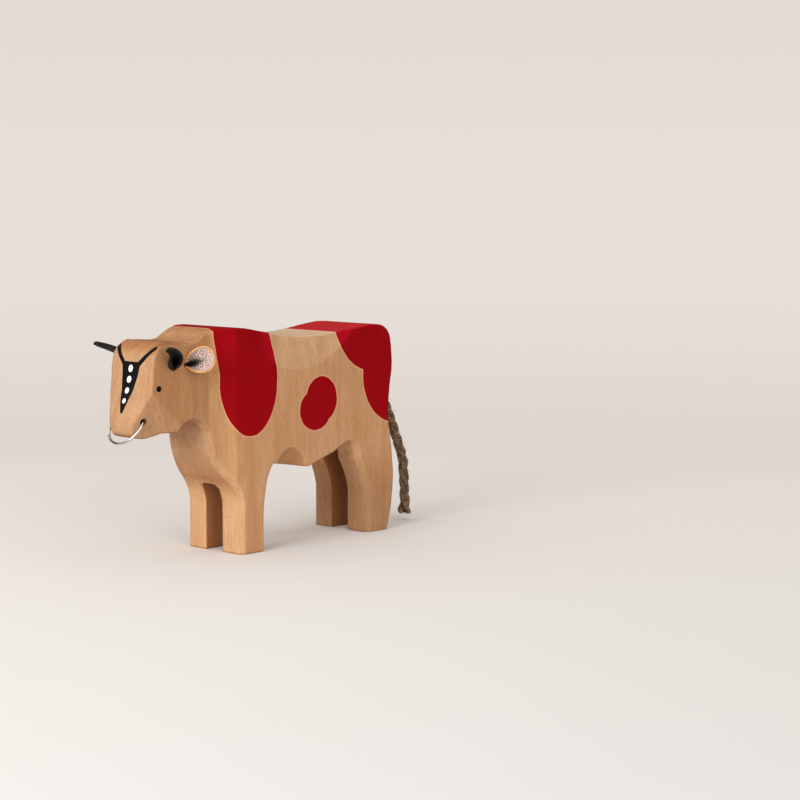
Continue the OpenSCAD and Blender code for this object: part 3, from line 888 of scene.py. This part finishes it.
def leather_roll(name, side, grid, surface, thick, materials):
    """A roll of leather on the left, side 1, or its mirror image, side -1."""
    along, across = grid
    bpy.ops.mesh.primitive_grid_add(x_subdivisions=across, y_subdivisions=along, size=1)
    roll = bpy.context.object
    roll.name = name
    roll.data.name = name
    for vertex in roll.data.vertices:
        at = surface(vertex.co.x * 2, vertex.co.y + 0.5)
        vertex.co = (at.x, at.y * side, at.z)
    make_active(roll)
    if side < 0:
        bpy.ops.object.mode_set(mode="EDIT")
        bpy.ops.mesh.select_all(action="SELECT")
        bpy.ops.mesh.flip_normals()
        bpy.ops.object.mode_set(mode="OBJECT")
    give_materials(roll, materials)
    apply_modifier(roll, "SOLIDIFY", thickness=thick, offset=0, use_even_offset=False,
                   material_offset=1, material_offset_rim=2)
    apply_modifier(roll, "BEVEL", width=thick * CUT_EDGE_SHARE, segments=CUT_EDGE_STEPS,
                   limit_method="ANGLE", angle_limit=CUT_EDGE_ANGLE)
    shade_smooth(roll, LEATHER_SMOOTH_DEG)
    return roll


def square_to(along, other):
    return (other - along * other.dot(along)).normalized()


# The head's left side is at Y = -HEAD_HALF_W, and horns and ears set out from it
HEAD_HALF_W = 0.012

HORN_BASE = Vector((-0.050165, -HEAD_HALF_W, 0.076608))
HORN_LEGS = (Vector((-0.002864, -0.008039, 0.003511)), Vector((-0.007183, -0.001632, 0.002530)))
HORN_LEVEL = Vector((0.67, -0.74, 0))
HORN_GRID = (30, 18)
HORN_LEATHER = 0.00095
HORN_IN_BORE_SHARE = 0.12
HORN_W = 0.0053
HORN_TIP_W = 0.0036
HORN_WIDEST_AT = 0.4
HORN_NECK_SHARE = 0.84
HORN_ROOT_SHARE = 0.8
HORN_ROOT_WIDENS = 1.6
HORN_OPENS_FROM = 0.1
HORN_OPENS_OVER = 0.4
HORN_OPEN_CURL = math.radians(84)
HORN_SHUT_CURL = math.radians(174)


def horn_width(s):
    """The roll's width, which grows to its widest place and then tapers to the tip."""
    if s < HORN_WIDEST_AT:
        grown = math.sin(math.pi / 2 * max(0, s) / HORN_WIDEST_AT)
        width = HORN_W * (HORN_NECK_SHARE + (1 - HORN_NECK_SHARE) * grown)
    else:
        taper = math.cos(math.pi / 2 * (s - HORN_WIDEST_AT) / (1 - HORN_WIDEST_AT))
        width = HORN_TIP_W + (HORN_W - HORN_TIP_W) * taper
    return width * min(1, HORN_ROOT_SHARE + HORN_ROOT_WIDENS * max(0, s + HORN_IN_BORE_SHARE))


def horn_surface(u, v):
    s = (1 + HORN_IN_BORE_SHARE) * v - HORN_IN_BORE_SHARE
    along = ((1 - s) * HORN_LEGS[0] + s * HORN_LEGS[1]).normalized()
    back = along.cross(square_to(along, HORN_LEVEL))
    across = along.cross(back)
    middle = horn_width(s) / 2 - HORN_LEATHER / 2
    centre = HORN_BASE + s * (2 - s) * HORN_LEGS[0] + s * s * HORN_LEGS[1]
    opened = min(1, max(0, (s - HORN_OPENS_FROM) / HORN_OPENS_OVER))
    opened *= opened * (3 - 2 * opened)
    curl = HORN_SHUT_CURL + (HORN_OPEN_CURL - HORN_SHUT_CURL) * opened
    return centre + middle * round_from(u * curl, back, across)


EAR_BASE = Vector((-0.042718, -HEAD_HALF_W, 0.07625))
EAR_AIM = Vector((0.23, -0.9, 0.27)).normalized()
EAR_OPEN = square_to(EAR_AIM, Vector((-1, 0, 0)))
EAR_ACROSS = EAR_OPEN.cross(EAR_AIM)
EAR_GRID = (34, 28)
EAR_LEATHER = 0.00062
EAR_IN_BORE_SHARE = 0.06
EAR_L = 0.0120
EAR_FLAT_W = 0.0114
EAR_ROOT_R = 0.00165
EAR_CURL_DEG = 44
EAR_ROOT_CURL_DEG = 96
EAR_ROOT_W_SHARE = 0.54
EAR_WIDE_AT = 0.42
EAR_TIP_FROM = 0.6
EAR_TIP_W_SHARE = 0.016
EAR_LEAST_R_SHARE = 0.25
TIP_CROWDING = 0.9


def ear_width_share(s):
    """The leaf's width, full in its middle and round at its tip."""
    if s < EAR_TIP_FROM:
        grown = math.sin(math.pi / 2 * min(1, max(0, s) / EAR_WIDE_AT))
        return EAR_ROOT_W_SHARE + (1 - EAR_ROOT_W_SHARE) * grown
    past = (s - EAR_TIP_FROM) / (1 - EAR_TIP_FROM)
    return max(EAR_TIP_W_SHARE, 1 - past ** 2.5) ** 0.42


def ear_surface(u, v):
    crowded = math.sin(v * math.pi / 2) ** TIP_CROWDING
    s = (1 + EAR_IN_BORE_SHARE) * crowded - EAR_IN_BORE_SHARE
    curl = math.radians(EAR_CURL_DEG + EAR_ROOT_CURL_DEG * (1 - max(0, s)) ** 2)
    leaf = ear_width_share(s)
    middle = EAR_FLAT_W * leaf / (2 * curl)
    full = EAR_FLAT_W * max(leaf, EAR_LEAST_R_SHARE) / (2 * curl)
    centre = EAR_BASE + EAR_L * s * EAR_AIM + (full + EAR_LEATHER / 2 - EAR_ROOT_R) * EAR_OPEN
    reach = curl * u * middle / full
    return centre + full * (-math.cos(reach) * EAR_OPEN + math.sin(reach) * EAR_ACROSS)


def add_leather(nap):
    def leather(name, dark, light, roughness, grain, depth):
        return leather_material(name, (dark, light), roughness, nap, grain, depth)

    horn_out = leather("horn_leather_grain", colour(11, 10, 10), colour(25, 24, 24),
                       0.5, 0.00035, 0.6)
    horn_in = leather("horn_leather_flesh", colour(4, 4, 4), colour(9, 8, 8),
                      0.85, 0.0002, 0.8)
    ear_out = leather("ear_leather_grain", colour(196, 132, 72), colour(222, 160, 96),
                      0.5, 0.0004, 0.4)
    ear_in = suede_material(nap)
    ear_edge = leather("ear_leather_edge", colour(214, 142, 74), colour(240, 174, 106),
                       0.7, 0.0003, 0.7)
    for side, word in ((1, "left"), (-1, "right")):
        horn = leather_roll("rolled_horn_" + word, side, HORN_GRID, horn_surface,
                            HORN_LEATHER, [horn_out, horn_in, horn_in])
        seat_piece(horn, "figure", "horn_" + word)
        ear = leather_roll("cupped_ear_" + word, side, EAR_GRID, ear_surface,
                           EAR_LEATHER, [ear_out, ear_in, ear_edge])
        seat_piece(ear, "figure", "ear_" + word)


# Nose ring: one length of wire. It is swept in the ring's own plane and then
# tipped to hang from the bore.

RING_HINGE = Vector((-0.06188, 0, 0.05555))
RING_R = 0.0086
RING_DROP = 0.0017
RING_TIP = math.radians(126)
RING_STEPS = 96
WIRE_R = 0.000475
WIRE_SIDES = 20
WIRE_SMOOTH_DEG = 40
BEND_R = 0.0009
BEND_STEPS = 10
PIN_END = 0.0044


def spin(steps, angle, centre):
    """Sweeps what is selected round the centre, anticlockwise seen from above."""
    bpy.ops.mesh.spin(steps=steps, angle=-angle, center=centre, axis=(0, 0, 1))


def add_ring(material):
    bend_y = -math.sqrt((RING_R - BEND_R) ** 2 - (BEND_R - RING_DROP) ** 2)
    join = math.atan2(bend_y, BEND_R - RING_DROP)
    pin = {"value": (0, bend_y + PIN_END, 0)}
    bpy.ops.mesh.primitive_circle_add(
        vertices=WIRE_SIDES, radius=WIRE_R, location=(0, -PIN_END, 0),
        rotation=(math.pi / 2, 0, 0),
    )
    ring = bpy.context.object
    ring.name = "nose_wire"
    ring.data.name = "nose_wire"
    make_active(ring)
    bpy.ops.object.transform_apply(location=True, rotation=True, scale=True)
    bpy.ops.object.mode_set(mode="EDIT")
    bpy.ops.mesh.select_all(action="SELECT")
    bpy.ops.mesh.edge_face_add()
    bpy.ops.mesh.extrude_region_move(TRANSFORM_OT_translate=pin)
    spin(BEND_STEPS, math.pi + join, (BEND_R, bend_y, 0))
    spin(RING_STEPS, -2 * join, (RING_DROP, 0, 0))
    spin(BEND_STEPS, math.pi + join, (BEND_R, -bend_y, 0))
    bpy.ops.mesh.extrude_region_move(TRANSFORM_OT_translate=pin)
    bpy.ops.mesh.select_all(action="SELECT")
    bpy.ops.mesh.remove_doubles(threshold=0.000001)
    bpy.ops.mesh.normals_make_consistent(inside=False)
    bpy.ops.object.mode_set(mode="OBJECT")
    ring.rotation_euler = (0, RING_TIP, 0)
    ring.location = RING_HINGE
    bpy.ops.object.transform_apply(location=True, rotation=True, scale=True)
    shade_smooth(ring, WIRE_SMOOTH_DEG)
    give_materials(ring, [material])
    seat_piece(ring, "ring", "nose_ring")


# Stage: pale floor and soft light

FLOOR_AT = (-0.125, -0.135, 0)
FLOOR_R = 0.58
FLOOR_SIDES = 96
FLOOR_FADES = (0.4, 0.56)
AWAY_FROM_CAMERA = (0.738, 0.674, 0)
NEAR_FLOOR = (-0.34, -0.12)
FAR_FLOOR = (-0.12, 0.12)


def floor_material():
    """Pale table top that melts into the wall's tone away from the figure."""
    material, nodes, shader = new_material("pale_floor")
    place = nodes.add("ShaderNodeTexCoord").outputs["Object"]
    tint = nodes.mix(nodes.noise(place, 6), colour(226, 222, 217), colour(229, 226, 222))
    away = nodes.vectors("DOT_PRODUCT", place, AWAY_FROM_CAMERA)
    near = nodes.span(away, *NEAR_FLOOR, 1.0, 0.0, "LINEAR")
    tint = nodes.mix(near, tint, colour(246, 246, 248), "MULTIPLY")
    far = nodes.span(away, *FAR_FLOOR, 0.0, 1.0, "LINEAR")
    tint = nodes.mix(far, tint, colour(236, 230, 224))
    finish_shader(nodes, shader, tint, 0.95, specular=0.0)
    off = nodes.vectors("DISTANCE", place, FLOOR_AT)
    nodes.put(shader.inputs["Alpha"], nodes.until(off, *FLOOR_FADES))
    return material


def add_floor():
    bpy.ops.mesh.primitive_circle_add(
        vertices=FLOOR_SIDES, radius=FLOOR_R, fill_type="NGON", location=FLOOR_AT
    )
    floor = bpy.context.object
    floor.name = "floor"
    make_active(floor)
    bpy.ops.object.transform_apply(location=True)
    give_materials(floor, [floor_material()])


# Ways that the room's light comes from, with the spans of their dot products
# and the strengths there
SOFT_LIGHT = ((-0.4, 0.05, 0.91), -0.7, 1.0, 0.2, 0.86)
LIT_WALL = ((0.55, 0.83, 0.0), -0.1, 0.5, 0.015, 0.16)
WINDOW = ((-0.62, 0.1, 0.78), 0.66, 0.9, 0.015, 2.6)
DAYLIGHT = (1.0, 0.985, 0.965)
WALL_FOOT = colour(223, 214, 206)
WALL_MIDDLE = colour(231, 224, 218)
WALL_TOP = colour(227, 219, 213)


def add_world():
    """Soft light that is strongest from the upper left, and a plain wall for the camera."""
    world = bpy.data.worlds.new("soft_room")
    scene.world = world
    world.use_nodes = True
    nodes = Nodes(world.node_tree)
    way = nodes.add("ShaderNodeTexCoord").outputs["Generated"]

    def toward(aim, *span):
        return nodes.span(nodes.vectors("DOT_PRODUCT", way, aim), *span)

    # mirrors see a lit wall behind, a window at the upper left and a dim room in front
    paths = nodes.add("ShaderNodeLightPath")
    strength = nodes.add("ShaderNodeMix", data_type="FLOAT")
    nodes.put(strength.inputs["Factor"], paths.outputs["Is Glossy Ray"])
    nodes.put(strength.inputs["A"], toward(*SOFT_LIGHT))
    nodes.put(strength.inputs["B"], nodes.higher(toward(*LIT_WALL), toward(*WINDOW)))
    light = nodes.add("ShaderNodeBackground", {
        "Color": (*DAYLIGHT, 1), "Strength": strength.outputs["Result"],
    })
    height = nodes.parts(way)[2]
    tint = nodes.mix(nodes.span(height, -0.13, -0.04), WALL_FOOT, WALL_MIDDLE)
    tint = nodes.mix(nodes.span(height, 0.0, 0.08), tint, WALL_TOP)
    wall = nodes.add("ShaderNodeBackground", {"Color": tint, "Strength": 1.0})
    both = nodes.add("ShaderNodeMixShader", {
        0: paths.outputs["Is Camera Ray"], 1: light.outputs[0], 2: wall.outputs[0],
    })
    nodes.put(world.node_tree.nodes["World Output"].inputs[0], both.outputs[0])


LAMPS = (
    ("window", (-0.88, -0.13, 0.33), (0.55, 0.4), 5.7),
    ("front_card", (-0.6, -1.5, 0.6), (0.9, 0.7), 6.2),
)
LAMPS_AIM = Vector((0, 0, 0.045))


def add_lamps():
    for name, at, size, power in LAMPS:
        data = bpy.data.lights.new(name, "AREA")
        data.shape = "RECTANGLE"
        data.size, data.size_y = size
        data.energy = power
        data.color = DAYLIGHT
        lamp = bpy.data.objects.new(name, data)
        scene.collection.objects.link(lamp)
        lamp.location = at
        lamp.rotation_mode = "QUATERNION"
        lamp.rotation_quaternion = (LAMPS_AIM - Vector(at)).to_track_quat("-Z", "Y")


add_camera()
add_tail(jute_material())
add_block(wood_material())
add_leather(nap_group())
add_ring(wire_material())
add_floor()
add_world()
add_lamps()
